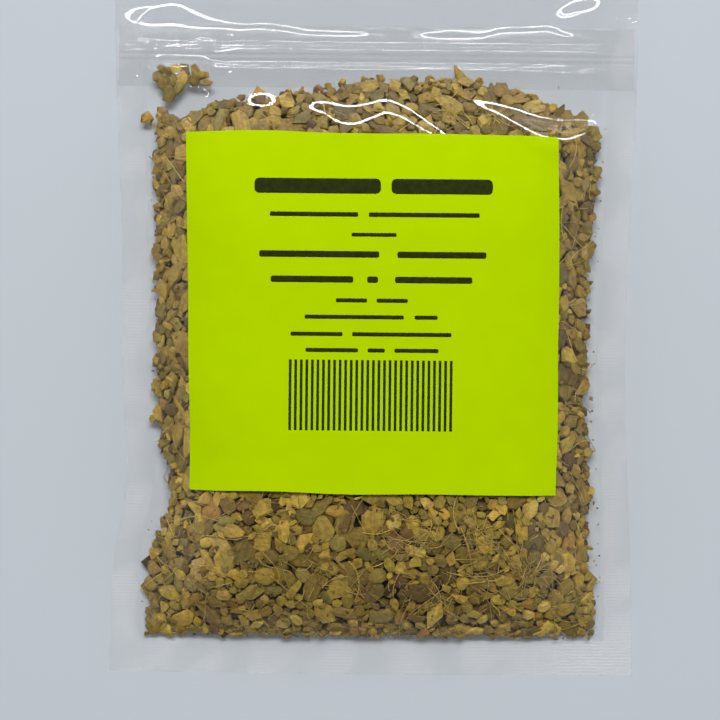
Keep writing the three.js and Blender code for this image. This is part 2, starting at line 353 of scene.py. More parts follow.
# %% Heights of both films
def front_relief(x, y):
    left, right, bottom, top = inside_distances(x, y)
    side = np.minimum(left, right)
    nearest = np.minimum(np.minimum(side, bottom), top)
    filled = ramp(nearest, 0.5, 5)
    from_side = LABEL_WIDTH / 2 - np.abs(x - LABEL_X)
    from_end = LABEL_HEIGHT / 2 - np.abs(y - LABEL_Y)
    under_label = ramp(from_side, -1, 2) * ramp(from_end, -1, 2)
    well_under = ramp(from_side, -3, 3) * ramp(from_end, 0.5, 10)
    # The film is pulled smooth below the zip.
    calm = 1 - 0.9 * ramp(y, 20, 28)
    bumps = filled * calm * (0.11 * ripple(x, y, 11, 11) + 0.03 * ripple(x, y, 3.4, 12))
    side_puckers = np.exp(-np.maximum(side, 0) / 6) * ramp(side, 0, 3)
    side_puckers = side_puckers * ramp(bottom, 0, 6) * ramp(top, -2, 6)
    bottom_puckers = np.exp(-np.maximum(bottom, 0) / 4) * ramp(bottom, 0, 2.5) * ramp(side, 0, 6)
    folds = 0.26 * side_puckers * ripple(x * 0.25, y, 8, 13) * calm
    folds = folds + 0.14 * bottom_puckers * ripple(x, y * 0.25, 7, 14)
    above_label = window_folds(x, y) * ramp(top, -1, 2) * (1 - well_under)
    return (bumps + folds) * (1 - 0.85 * under_label) + above_label + crinkles(x, y)


def back_relief(x, y):
    left, right, bottom, top = inside_distances(x, y)
    nearest = np.minimum(np.minimum(left, right), np.minimum(bottom, top))
    filled = ramp(nearest, 0.5, 5)
    return filled * np.clip(0.10 * ripple(x, y, 13, 21) + 0.02, 0, 0.4)


def shared_relief(x, y):
    """What bends both films together."""
    return seal_ribs(y) + lip_waves(x, y)


def front_inside(x, y):
    return front_form(x, y) + front_relief(x, y) + clump_bump(x, y) + shared_relief(x, y)


def back_inside(x, y):
    return back_form(x, y) + back_relief(x, y) + shared_relief(x, y)


def halfway(x, y):
    """The height in the middle between the films."""
    return (front_inside(x, y) + back_inside(x, y)) / 2


def slope_normals(surface, x, y):
    """Unit normals of a height function, pointing up."""
    step = 0.4
    dx = (surface(x + step, y) - surface(x - step, y)) / (2 * step)
    dy = (surface(x, y + step) - surface(x, y - step)) / (2 * step)
    normals = np.stack([-dx, -dy, np.ones_like(dx)], axis=-1)
    return normals / np.linalg.norm(normals, axis=-1, keepdims=True)


_, film_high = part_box("front_film")
middle_height = float(front_inside(0.0, -12.0))
print("front film over the middle:", round(middle_height, 2), "mm; frame:", round(film_high.z / MM, 2))

# %% [markdown]
# ## The camera
#
# The pouch is seen square on to its front, a little below its middle, from about four of its widths away.
# It lies on a table, so the camera looks straight down, with the open end at the top of its view.

# %% Camera
CAMERA_PLACE = (-2.5 * MM, -15.4 * MM, 390 * MM)
start_fresh()
bpy.ops.object.camera_add(location=CAMERA_PLACE, rotation=(0, 0, math.radians(0.55)))
camera = bpy.context.object
camera.name = "camera"
camera.data.lens = 100
camera.data.sensor_width = 36
camera.data.clip_start = 0.01
bpy.context.scene.camera = camera
print("camera is", round(camera.location.z / MM), "mm over the table")

# %% [markdown]
# ## Nodes
#
# The sky and every finish are made of nodes. Each socket of a node holds a value, or takes the result of
# another node. `add_node` makes a node and fills its sockets, so a finish reads as a short list.
# The helpers after it make the few nodes that are used again and again.

# %% Tools for nodes
def add_node(tree, kind, sockets=None, **settings):
    """Adds a node. Each socket is given a value, or is linked to another node's result."""
    node = tree.nodes.new("ShaderNode" + kind)
    for setting, value in settings.items():
        setattr(node, setting, value)
    for socket, value in (sockets or {}).items():
        if isinstance(value, bpy.types.NodeSocket):
            tree.links.new(value, node.inputs[socket])
        else:
            node.inputs[socket].default_value = value
    return node


def maths(tree, operation, *values):
    return add_node(tree, "Math", dict(enumerate(values)), operation=operation).outputs["Value"]


def map_range(tree, value, from_low, from_high, to_low=0.0, to_high=1.0):
    sockets = {
        "Value": value, "From Min": from_low, "From Max": from_high, "To Min": to_low, "To Max": to_high}
    return add_node(tree, "MapRange", sockets).outputs["Result"]


def colour_ramp(tree, share, low, low_colour, high, high_colour):
    """One colour up to the low share, another from the high share, and a blend between."""
    node = add_node(tree, "ValToRGB", {"Fac": share})
    for stop, place, colour in zip(node.color_ramp.elements, (low, high), (low_colour, high_colour)):
        stop.position = place
        stop.color = (*colour, 1)
    return node.outputs["Color"]


def mix_colours(tree, share, first, second, blend="MIX"):
    sockets = {"Factor": share, "A": first, "B": second}
    return add_node(tree, "Mix", sockets, data_type="RGBA", blend_type=blend).outputs["Result"]


def mix_shaders(tree, share, first, second):
    return add_node(tree, "MixShader", {"Fac": share, 1: first, 2: second}).outputs["Shader"]


def object_place(tree):
    return add_node(tree, "TexCoord").outputs["Object"]


def object_noise(tree, scale, detail, stretch=(1, 1, 1)):
    """A noise texture on Object coordinates. The scale is in lumps per metre."""
    place = add_node(tree, "Mapping", {"Vector": object_place(tree), "Scale": stretch}).outputs["Vector"]
    return add_node(tree, "TexNoise", {"Vector": place, "Scale": scale, "Detail": detail}).outputs["Fac"]


def bump(tree, height, strength, depth):
    sockets = {"Height": height, "Strength": strength, "Distance": depth}
    return add_node(tree, "Bump", sockets).outputs["Normal"]


def new_finish(name):
    """A material without nodes, and its node tree."""
    finish = bpy.data.materials.new(name)
    finish.use_nodes = True
    finish.node_tree.nodes.clear()
    return finish, finish.node_tree


def principled(tree, sockets):
    """One Principled shader, joined to the material's output."""
    shader = add_node(tree, "BsdfPrincipled", sockets)
    add_node(tree, "OutputMaterial", {"Surface": shader.outputs["BSDF"]})


# %% [markdown]
# ## The floor and the light
#
# A pale, slightly blue table stands in a tent with bright walls to the left and right and dimmer ones at
# both ends. It is dark straight above, where the camera looks in, so level film mirrors almost nothing
# and the chips show through it clearly. A broad soft lamp over the open end models the chips a little.
# Clear film is only seen by what it mirrors, so thin bright strips stand well to the side of the open end.
# Where the film leans towards them, it shows a thin white line. They are only there to be mirrored,
# so they light nothing themselves, and the soft lamp alone sets how bright the chips are.

# %% Floor
FLOOR_DROP = 0.05 * MM
FLOOR_COLOUR = (0.594, 0.638, 0.684, 1)
start_fresh()
bpy.ops.mesh.primitive_plane_add(size=6, location=(0, 0, -FLOOR_DROP))
floor = bpy.context.object
floor.name = "floor"
floor_paint, floor_nodes = new_finish("floor_paint")
principled(floor_nodes, {"Base Color": FLOOR_COLOUR, "Roughness": 0.9, "Specular IOR Level": 0.0})
floor.data.materials.append(floor_paint)

# %% The tent
scene = bpy.context.scene
scene.view_settings.view_transform = "Standard"
# Light has to get through eight layers of clear plastic at the zip, and back out again.
scene.cycles.transparent_max_bounces = 40
scene.world = bpy.data.worlds.new("tent")
scene.world.use_nodes = True
tent = scene.world.node_tree
looking = add_node(tent, "TexCoord").outputs["Generated"]
direction = add_node(tent, "SeparateXYZ", {"Vector": looking}).outputs
canopy = colour_ramp(tent, direction["Z"], 0.62, (0.76, 0.78, 0.80), 0.86, (0.06, 0.06, 0.065))
side_walls = map_range(tent, maths(tent, "ABSOLUTE", direction["X"]), 0.25, 0.75, 0.18, 1.15)
# The wall at the pouch's foot is the darkest.
foot_wall = map_range(tent, direction["Y"], -0.7, -0.1, 0.8, 1.0)
background = tent.nodes["Background"].inputs
tent.links.new(canopy, background["Color"])
tent.links.new(maths(tent, "MULTIPLY", side_walls, foot_wall), background["Strength"])


# %% Lamps
# The strips face the folds below the zip.
FOLDS_Y = 34 * MM


def lamp(name, place, aim, width, depth, power):
    """A rectangular lamp at a place, turned to face another."""
    start_fresh()
    bpy.ops.object.light_add(type="AREA", location=place)
    made = bpy.context.object
    made.name = name
    made.data.shape = "RECTANGLE"
    made.data.size = width
    made.data.size_y = depth
    made.data.energy = power
    towards = Vector(aim) - Vector(place)
    made.rotation_euler = towards.to_track_quat("-Z", "Y").to_euler()
    return made


def strip(name, x, angle, distance, length, thickness, radiance):
    """A thin bright strip along X, this many degrees from straight up, towards the open end."""
    a = math.radians(angle)
    place = (x, FOLDS_Y + distance * math.sin(a), distance * math.cos(a))
    power = radiance * math.pi * length * thickness
    made = lamp(name, place, (x, FOLDS_Y, 10 * MM), length, thickness, power)
    made.visible_diffuse = False


softbox = lamp("top_softbox", (0.0, 0.44, 1.0), (0, 0, 0), 0.55, 0.26, 8.3)
softbox.visible_glossy = False
strip("low_strip", 0, 81.5, 0.50, 0.9, 0.050, 70)
strip("high_strip_left", -0.100, 28, 0.60, 0.30, 0.036, 40)
strip("high_strip_right", 0.095, 28, 0.60, 0.20, 0.036, 40)

# %% [markdown]
# ## Finishes
#
# **Clear film** lets light through and mirrors a little of it, more at a glancing angle.
# It could be glass, but glass bends light and turns thin film dark, so light passes straight through here,
# and Layer Weight sets how much is mirrored. A trace of white haze gives it body.
# The welds and the zip tapes are the same plastic with more haze.

# %% Clear film
SCUFFS = 0.006
WELD_WHITENING = 0.04
LINE_DEPTH = 0.00003
# A painted shade: how much of the light the film at the pouch's head lets through.
HEAD_PAINTED_SHADE = (0.984, 0.985, 0.986)
HAZE_WHITE = (0.86, 0.84, 0.83, 1)
GLOW_ROUGHNESS = 0.13
GLOW_SHARE = 0.05


def clear_plastic(name, tint, weld_haze, gloss_roughness, gloss):
    finish, tree = new_finish(name)
    place = object_place(tree)
    # Towards the zip and over the lips, the film lets a little less light through: a painted shade on the
    # pouch's head.
    height = add_node(tree, "SeparateXYZ", {"Vector": place}).outputs["Y"]
    shaded_tint = [share * darker for share, darker in zip(tint, HEAD_PAINTED_SHADE)]
    head = mix_colours(tree, map_range(tree, height, 0.030, 0.040), (*tint, 1), (*shaded_tint, 1))
    through = add_node(tree, "BsdfTransparent", {"Color": head}).outputs["BSDF"]
    # The haze is faint scuffs all over, and the welds' fine white lines. At the bottom-right corner, where
    # the weld mark is raised, these white lines are a painted glint.
    weld_and_glint = add_node(tree, "Attribute", attribute_name="weld_and_glint").outputs["Fac"]
    scuffs = maths(tree, "MULTIPLY", object_noise(tree, 160, 5, (1, 0.35, 1)), SCUFFS)
    wave = {"Vector": place, "Scale": 507, "Distortion": 0.5, "Detail": 1}
    lines = add_node(tree, "TexWave", wave, bands_direction="Y").outputs["Fac"]
    lined = maths(tree, "MULTIPLY", maths(tree, "POWER", lines, 3), weld_and_glint)
    whitened = maths(tree, "MINIMUM", maths(tree, "MULTIPLY", weld_and_glint, 3), 1)
    clouded = maths(tree, "ADD", scuffs, maths(tree, "MULTIPLY", whitened, WELD_WHITENING))
    haze = maths(tree, "ADD", clouded, maths(tree, "MULTIPLY", lined, weld_haze))
    # The sealing bars also leave fine lines to feel.
    fine = maths(tree, "MULTIPLY", object_noise(tree, 700, 3), 0.06)
    relief = bump(tree, maths(tree, "ADD", lined, fine), 0.5, LINE_DEPTH)
    cloud = add_node(tree, "BsdfDiffuse", {"Color": HAZE_WHITE, "Normal": relief}).outputs["BSDF"]
    body = mix_shaders(tree, haze, through, cloud)
    # A sharp reflection with a faint glow round it: very little straight on, and more at a glancing angle.
    sharp, glow = [
        add_node(tree, "BsdfGlossy", {"Color": (1, 1, 1, 1), "Roughness": roughness, "Normal": relief})
        for roughness in (gloss_roughness, GLOW_ROUGHNESS)
    ]
    mirror = mix_shaders(tree, GLOW_SHARE, sharp.outputs["BSDF"], glow.outputs["BSDF"])
    facing = add_node(tree, "LayerWeight", {"Blend": 0.5}).outputs["Facing"]
    shine = maths(tree, "MULTIPLY_ADD", maths(tree, "POWER", facing, 7), 0.80, gloss)
    add_node(tree, "OutputMaterial", {"Surface": mix_shaders(tree, shine, body, mirror)})
    return finish


film_plastic = clear_plastic("film_plastic", (0.994, 0.992, 0.989), 0.035, 0.04, 0.011)
zip_plastic = clear_plastic("zip_plastic", (0.991, 0.989, 0.987), 0.08, 0.10, 0.003)

# %% [markdown]
# **Label paper** is a vivid, matte yellow-green. It could be one flat colour,
# but paper has a faint cloudy formation and a tooth of fine fibres, so both are added.
# The **ink** is a thin matte black that lets a little of the paper's colour through.

# %% Paper and ink
def matte_finish(name, dark, light, roughness, cloud_scale, bump_depth):
    """Two close colours clouded together, with a fine tooth."""
    finish, tree = new_finish(name)
    principled(tree, {
        "Base Color": colour_ramp(tree, object_noise(tree, cloud_scale, 6), 0.3, dark, 0.7, light),
        "Roughness": roughness,
        "Specular IOR Level": 0.0,
        "Normal": bump(tree, object_noise(tree, 3000, 4), 0.6, bump_depth),
    })
    return finish


label_stock = matte_finish("label_stock", (0.464, 0.686, 0.0), (0.476, 0.700, 0.0), 0.62, 220, 0.00002)
label_ink = matte_finish("label_ink", (0.020, 0.026, 0.006), (0.034, 0.042, 0.008), 0.7, 900, 0.00001)

# %% [markdown]
# **Dried ginger** is olive tan outside and yellower where it is freshly cut, with straight pale fibres,
# a few orange resin spots and a dusty bloom. Each chip has its own colour, kept on its mesh as an
# attribute, and its own grain direction, so the fibres turn with the chip. A texture on Object coordinates
# alone would run straight through neighbouring chips and give them all one grain.

# %% Dried ginger
def ginger_finish(name, lightness):
    finish, tree = new_finish(name)
    tone = add_node(tree, "Attribute", attribute_name="tone").outputs["Color"]
    grain = add_node(tree, "Attribute", attribute_name="grain").outputs["Vector"]
    # Straight fibres along the chip.
    along = add_node(tree, "Mapping", {"Vector": grain, "Scale": (0.6, 3.4, 2.0)}).outputs["Vector"]
    noise = {"Vector": along, "Scale": 1.5, "Detail": 4, "Roughness": 0.65}
    fibres = add_node(tree, "TexNoise", noise).outputs["Fac"]
    pale = [share * lightness for share in (1.15, 1.14, 1.10)]
    streaks = colour_ramp(tree, fibres, 0.30, (0.70, 0.67, 0.63), 0.68, pale)
    streaked = mix_colours(tree, 1, tone, streaks, "MULTIPLY")
    # Cloudy patches, a few of them bleached by dust.
    clouds = object_noise(tree, 1100, 7)
    patches = colour_ramp(tree, clouds, 0.36, (0.76, 0.73, 0.70), 0.62, (1.12, 1.12, 1.10))
    patched = mix_colours(tree, 1, streaked, patches, "MULTIPLY")
    # Small orange resin spots.
    spots = add_node(tree, "TexVoronoi", {"Vector": grain, "Scale": 1.1}).outputs["Distance"]
    spotted = maths(tree, "MULTIPLY", maths(tree, "LESS_THAN", spots, 0.16), 0.18)
    # The surface is broken by its fibres and by crumbs.
    crumbs = maths(tree, "MULTIPLY", object_noise(tree, 2200, 4), 0.5)
    principled(tree, {
        "Base Color": mix_colours(tree, spotted, patched, (0.36, 0.145, 0.035, 1)),
        "Roughness": map_range(tree, fibres, 0, 1, 0.62, 0.92),
        "Specular IOR Level": 0.3,
        "Normal": bump(tree, maths(tree, "ADD", fibres, crumbs), 0.75, 0.0002),
    })
    return finish


ginger_flesh = ginger_finish("ginger_flesh", 1.0)
ginger_fibre = ginger_finish("ginger_fibre", 1.1)
print("finishes:", [m.name for m in bpy.data.materials if m.users])

# %% [markdown]
# ## The two films
#
# Each film is one sheet of clear plastic, cut to the pouch's outline. It could be a cloth simulation,
# but its form is set by its welds and by what fills it, so a fine grid is laid out in the flat,
# its points are moved to the film's height, and a Solidify modifier gives the sheet its thickness.
# The rows are closest together in the bottom weld, where the ribs are.

# %% Lay out a film
FOLDS_START = 22
ZIP_MARGIN = 1.2


def in_steps(stops, steps):
    """Places from the first stop to the last, with this many even steps between each two."""
    places = [stops[0]]
    for start, stop, count in zip(stops, stops[1:], steps):
        places += list(np.linspace(start, stop, count + 1))[1:]
    return places


row_stops = [BOTTOM_EDGE, FILL_START, FOLDS_START, ZIP_BOTTOM - ZIP_MARGIN, ZIP_TOP + ZIP_MARGIN, TOP_EDGE]
film_rows = in_steps(row_stops, [46, 96, 84, 50, 32])


def film_columns(y):
    """Places across the pouch at one height: two welds, and the film between them."""
    low = left_edge(y)
    high = right_edge(y)
    return in_steps([low, low + SIDE_SEAL, high - SIDE_SEAL, high], [7, 128, 7])


film_x = np.array([film_columns(y) for y in film_rows])
film_y = np.repeat(np.array(film_rows)[:, None], film_x.shape[1], axis=1)


# %% Lay a sheet
def lay_sheet(x, y, z, thickness):
    """A grid of points in millimetres, made a closed sheet that is thickened downwards."""
    rows, columns = x.shape
    start_fresh()
    bpy.ops.mesh.primitive_grid_add(x_subdivisions=columns - 1, y_subdivisions=rows - 1, size=0.1)
    sheet = bpy.context.object
    move_points(sheet, np.stack([x.ravel(), y.ravel(), z.ravel()], axis=1) * MM)
    wall = sheet.modifiers.new("thickness", "SOLIDIFY")
    wall.thickness = thickness * MM
    wall.offset = -1
    bpy.ops.object.modifier_apply(modifier=wall.name)
    shade(sheet, 50)
    return sheet


def mark_welds(sheet):
    """More than 0 in the welds and 0 elsewhere, kept on the mesh for the finish to read. It is raised at the
    bottom-right corner, where the white lines it gives are a painted glint.
    """
    points = points_of(sheet) / MM
    x, y = points[:, 0], points[:, 1]
    left, right, bottom, _ = inside_distances(x, y)
    nearest = np.minimum(np.minimum(left, right), bottom)
    patchy = np.maximum(0.36 + 0.34 * ripple(x, y, 11, 41), 0.08) * 0.5
    # Raised at the bottom-right corner, so the welds' white lines there are a painted glint.
    corner = 2.0 * bell(x - 43, 9) * bell(y + 73, 6)
    weld_and_glint = np.clip(ramp(-nearest, 0, 0.5) * (patchy + corner), 0, 3)
    attribute = sheet.data.attributes.new("weld_and_glint", "FLOAT", "POINT")
    attribute.data.foreach_set("value", weld_and_glint.astype(np.float32))


# %% Both films
front_height = front_inside(film_x, film_y) + FILM
back_height = back_inside(film_x, film_y)
for name, height in (("front", front_height), ("back", back_height)):
    sheet = lay_sheet(film_x, film_y, height, FILM)
    mark_welds(sheet)
    keep_piece(sheet, "pouch_" + name, film_plastic, [name + "_film"])
    sheet.visible_shadow = False

# %% [markdown]
# ## The zip
#
# A press-to-close zip is two extruded tapes, each welded to the inside of one film.
# The front tape carries an arrow-shaped rib, the back one a jaw that grips it, and both have fine ribs
# along them.
# An extrusion is made here the same way: its profile is drawn as one flat face,
# and the face is pulled along the pouch in short steps, so it can bend with the seams.

# %% Profiles of the tapes
TAPE = 0.16
TAPE_INSET = 0.6
TAPE_STEPS = 90
# The outside of a tape is this far from the zip's middle plane, and rises this much over the rib.
TAPE_OUTSIDE = 0.27
RIB_RISE = 0.67


def tape_outside(y):
    """The tape just touches the film, over the rib as well."""
    over_rib = ramp(RIB_HALF + RIB_FLANK - np.abs(y - ZIP_MIDDLE), 0, RIB_FLANK)
    return TAPE_OUTSIDE + RIB_RISE * over_rib


def tape_profile(half):
    """The tape's outline, as y and height over the seam: outside, then back along the inside.

    `half` is the upper half of the rib or the jaw, from the tape inwards. The lower half mirrors it.
    """
    outside = np.linspace(ZIP_BOTTOM, ZIP_TOP, 61)
    outline = [(y, float(tape_outside(y)) + 0.012 * (i % 2)) for i, y in enumerate(outside)]
    inside = [y for y in outside[::-1] if abs(y - ZIP_MIDDLE) > 1.7]
    inner = [(y, float(tape_outside(y)) - TAPE - 0.014 * (i % 2)) for i, y in enumerate(inside)]
    upper = [p for p in inner if p[0] > ZIP_MIDDLE]
    lower = [p for p in inner if p[0] < ZIP_MIDDLE]
    middle = half + [(-dy, z) for dy, z in reversed(half)]
    return outline + upper + [(ZIP_MIDDLE + dy, z) for dy, z in middle] + lower


RIB = [(1.3, 0.78), (0.34, 0.76), (0.27, 0.30), (0.55, 0.16), (0.36, -0.22), (0.12, -0.42)]
JAW = [
    (1.3, 0.78), (1.18, 0.30), (1.12, -0.30), (0.80, -0.42), (0.50, -0.36), (0.52, -0.26), (0.84, -0.16),
    (0.84, 0.50), (0.60, 0.72),
]


# %% Extrude the tapes
def extrude_tape(profile, side):
    """Draws the profile as a face at the left end, and pulls it to the right end."""
    start_x = float(left_edge(ZIP_MIDDLE)) + TAPE_INSET
    stop_x = float(right_edge(ZIP_MIDDLE)) - TAPE_INSET
    start_fresh()
    bpy.ops.mesh.primitive_circle_add(vertices=len(profile), radius=0.01, fill_type="NGON")
    tape = bpy.context.object
    move_points(tape, np.array([(start_x, y, side * z) for y, z in profile]) * MM)
    edit_all()
    step = (stop_x - start_x) / TAPE_STEPS * MM
    for _ in range(TAPE_STEPS):
        bpy.ops.mesh.extrude_region_move(TRANSFORM_OT_translate={"value": (step, 0, 0)})
    face_outwards()
    points = points_of(tape)
    x, y, z = points.T / MM
    # In the side seams the rib and the jaw are pressed flat.
    flat = np.clip(z, -TAPE_OUTSIDE, TAPE_OUTSIDE)
    points[:, 2] = (flat + (z - flat) * opening(x, y)) * MM
    # The fine ribs aren't quite even.
    lift = seam_height(x, y) + shared_relief(x, y) + 0.004 * ripple(x * 0.2, y, 1.2, 45)
    if side > 0:
        lift = lift + clump_bump(x, y)
    points[:, 2] += lift * MM
    move_points(tape, points)
    shade(tape, 4)
    return tape


for name, node, half, side in (("front", "rib", RIB, 1), ("back", "jaw", JAW, -1)):
    tape = extrude_tape(tape_profile(half), side)
    keep_piece(tape, "zip_" + name + "_tape", zip_plastic, ["zip_" + node + "_tape"])
    tape.visible_shadow = False

# %% [markdown]
# ## The label
#
# The label is a sheet of self-adhesive paper, stuck over the lumpy film. It bridges the small hollows
# and follows only the broad swell, with soft waves and edges that aren't quite straight.
# It is laid out like the films, from a grid, and given the thickness of paper.

# %% Label sheet
PAPER = 0.10


def label_top(x, y):
    waves = 0.10 * ripple(x, y, 22, 51) + 0.035 * ripple(x, y, 8, 52)
    stretched = front_form(x, y) + FILM + 0.28 + PAPER + 0.12 + waves
    # Where the film bulges up, it lifts the paper.
    pushed = front_inside(x, y) + FILM + PAPER + 0.06
    return stretched + 0.08 * np.logaddexp(0, (pushed - stretched) / 0.08)


label_rows = np.linspace(-LABEL_HEIGHT / 2, LABEL_HEIGHT / 2, 91)
label_columns = np.linspace(-LABEL_WIDTH / 2, LABEL_WIDTH / 2, 93)
label_x, label_y = np.meshgrid(label_columns, label_rows)
side_share = (label_x / (LABEL_WIDTH / 2)) ** 9
end_share = (label_y / (LABEL_HEIGHT / 2)) ** 9
wander_x = 0.16 * ripple(label_y * 0.1, label_y, 26, 53) * np.abs(side_share)
wander_y = 0.12 * ripple(label_x, label_x * 0.1, 30, 54) * np.abs(end_share)
# Its corners aren't quite square. Each row is the sideways and upward shift of one corner.
low_left, low_right, high_left, high_right = (1.1, 0.7), (0.35, 0.2), (-0.5, 0.35), (0.35, -0.35)
from_left = label_x / LABEL_WIDTH + 0.5
from_low = label_y / LABEL_HEIGHT + 0.5
for axis, grid in ((0, wander_x), (1, wander_y)):
    lower = low_left[axis] * (1 - from_left) + low_right[axis] * from_left
    upper = high_left[axis] * (1 - from_left) + high_right[axis] * from_left
    grid += lower * (1 - from_low) + upper * from_low
label_x = label_x + LABEL_X + wander_x
label_y = label_y + LABEL_Y + wander_y
label_sheet = lay_sheet(label_x, label_y, label_top(label_x, label_y), PAPER)
keep_piece(label_sheet, "label_sheet", label_stock, ["paper_label"])

# %% [markdown]
# ## The print
#
# The real label is printed with a title, some lines of small type and a block of upright bars.
# Words aren't copied here. Each word is a plain dark bar as long as the word would be,
# and the upright bars are all alike. A printed area could be a mask in the paper's material,
# but a thin patch of ink with rounded corners keeps a crisp edge at any distance.

# %% Print layout
# Each line is its height over the label's middle, the height of its bars, and each word's start and end.
PRINT_LINES = [
    (23.8, 2.9, [(-22.1, 1.6), (3.6, 22.6)]),
    (18.4, 0.85, [(-19.1, -2.6), (-0.6, 20.1)]),
    (14.6, 0.7, [(-3.8, 4.6)]),
    (10.9, 1.2, [(-21.0, 1.4), (4.8, 21.4)]),
    (6.2, 1.2, [(-18.8, -3.4), (-0.8, 1.2), (4.4, 18.8)]),
    (2.3, 0.75, [(-6.6, -0.8), (1.0, 6.8)]),
    (-0.8, 0.75, [(-12.4, 6.1), (8.1, 12.4)]),
    (-4.0, 0.75, [(-15.0, -5.3), (-3.5, 15.0)]),
    (-7.0, 0.75, [(-12.2, -2.4), (-0.6, 2.6), (4.4, 12.6)]),
]
BAR_COUNT = 30
BAR_WIDTH = 0.5
BAR_PITCH = 1.035
BAR_TOP = -8.8
BAR_BOTTOM = -22.0
INK = 0.02
INK_STEP = 0.9


def ink_patch(x, y, width, height, corner):
    """A thin patch of ink at a place on the label, with its corners rounded."""
    start_fresh()
    bpy.ops.mesh.primitive_plane_add(size=1, location=((x + LABEL_X) * MM, (y + LABEL_Y) * MM, 0))
    patch = bpy.context.object
    patch.scale = (width * MM, height * MM, 1)
    bpy.ops.object.transform_apply(location=True, rotation=True, scale=True)
    edit_all()
    bpy.ops.mesh.bevel(offset=corner * MM, segments=3, affect="VERTICES")
    bpy.ops.object.mode_set(mode="OBJECT")
    return patch


patches = []
for line_y, bar_height, words in PRINT_LINES:
    for word_start, word_end in words:
        centre = (word_start + word_end) / 2
        patches.append(ink_patch(centre, line_y, word_end - word_start, bar_height, bar_height * 0.3))
for k in range(BAR_COUNT):
    centre = (k - (BAR_COUNT - 1) / 2) * BAR_PITCH
    middle = (BAR_TOP + BAR_BOTTOM) / 2
    patches.append(ink_patch(centre, middle, BAR_WIDTH, BAR_TOP - BAR_BOTTOM, 0.05))

# %% Lay the ink on the paper
start_fresh()
for patch in patches:
    patch.select_set(True)
bpy.context.view_layer.objects.active = patches[0]
bpy.ops.object.join()
label_print = bpy.context.object
bpy.ops.object.mode_set(mode="EDIT")
# The ink is cut into small faces, so it can follow the waves of the paper.
for cut in np.arange(BAR_BOTTOM + 0.5, 26, INK_STEP):
    bpy.ops.mesh.select_all(action="SELECT")
    bpy.ops.mesh.bisect(plane_co=(0, (cut + LABEL_Y) * MM, 0), plane_no=(0, 1, 0))
for cut in np.arange(-22.5, 22.6, INK_STEP):
    bpy.ops.mesh.select_all(action="SELECT")
    bpy.ops.mesh.bisect(plane_co=((cut + LABEL_X) * MM, 0, 0), plane_no=(1, 0, 0))
bpy.ops.mesh.select_all(action="SELECT")
bpy.ops.mesh.extrude_region_move(TRANSFORM_OT_translate={"value": (0, 0, INK * MM)})
face_outwards()
ink_points = points_of(label_print)
ink_points[:, 2] += (label_top(ink_points[:, 0] / MM, ink_points[:, 1] / MM) + 0.012) * MM
move_points(label_print, ink_points)
shade(label_print, 30)
keep_piece(label_print, "label_print", label_ink)

# %% [markdown]
# ## One chip at a time
#
# The filling is dried root that was chopped and sifted, so the pieces are flat or blocky, a few millimetres
# across, with uneven corners and worn edges. Some two dozen shapes are modelled: a short cylinder with few
# sides is a cut slice, its corners are pushed about, its edges are bevelled, and some faces are dished,
# as a slice shrinks more in the middle than at its rim while it dries. Thicker ones also lose corners.
# Every packed chip is a copy of one of these, so each has only a few dozen faces.

# %% Model the shapes
def model_chip(corners, thickness, lean, taper, cuts, dish, uneven, seed):
    """One chip about two units wide, on its own axes, as points and faces."""
    rng = np.random.default_rng(seed)
    start_fresh()
    bpy.ops.mesh.primitive_cylinder_add(vertices=corners, radius=1, depth=thickness, end_fill_type="NGON")
    chip = bpy.context.object
    points = points_of(chip)
    turn = np.arctan2(points[:, 1], points[:, 0])
    number = np.round(turn / (2 * math.pi / corners)).astype(int) % corners
    reach = rng.uniform(0.74, 1.16, corners)[number]
    turn = turn + rng.uniform(-0.30, 0.30, corners)[number]
    points[:, 0] = np.cos(turn) * reach
    points[:, 1] = np.sin(turn) * reach
    upper = points[:, 2] > 0
    points[upper, :2] *= taper
    points[upper, 0] += lean * math.cos(seed)
    points[upper, 1] += lean * math.sin(seed)
    points += rng.normal(0, 0.05, points.shape) * (1, 1, uneven)
    move_points(chip, points)
    bpy.ops.object.mode_set(mode="EDIT")
    for _ in range(cuts):
        away = Vector((rng.normal(), rng.normal(), rng.normal() * 0.6)).normalized()
        plane = away * rng.uniform(0.5, 0.72)
        bpy.ops.mesh.select_all(action="SELECT")
        bpy.ops.mesh.bisect(plane_co=plane, plane_no=away, use_fill=True, clear_outer=True)
    bpy.ops.mesh.select_all(action="SELECT")
    bpy.ops.mesh.bevel(offset=0.055, segments=1, affect="EDGES")
    bpy.ops.object.mode_set(mode="OBJECT")
    if dish:
        for face in chip.data.polygons:
            face.select = abs(face.normal.z) > 0.8 and face.area > 0.8
        bpy.ops.object.mode_set(mode="EDIT")
        bpy.ops.mesh.inset(thickness=0.20, depth=-0.08)
        bpy.ops.object.mode_set(mode="OBJECT")
    points = points_of(chip)
    faces = [list(face.vertices) for face in chip.data.polygons]
    bpy.ops.object.delete()
    return points, faces


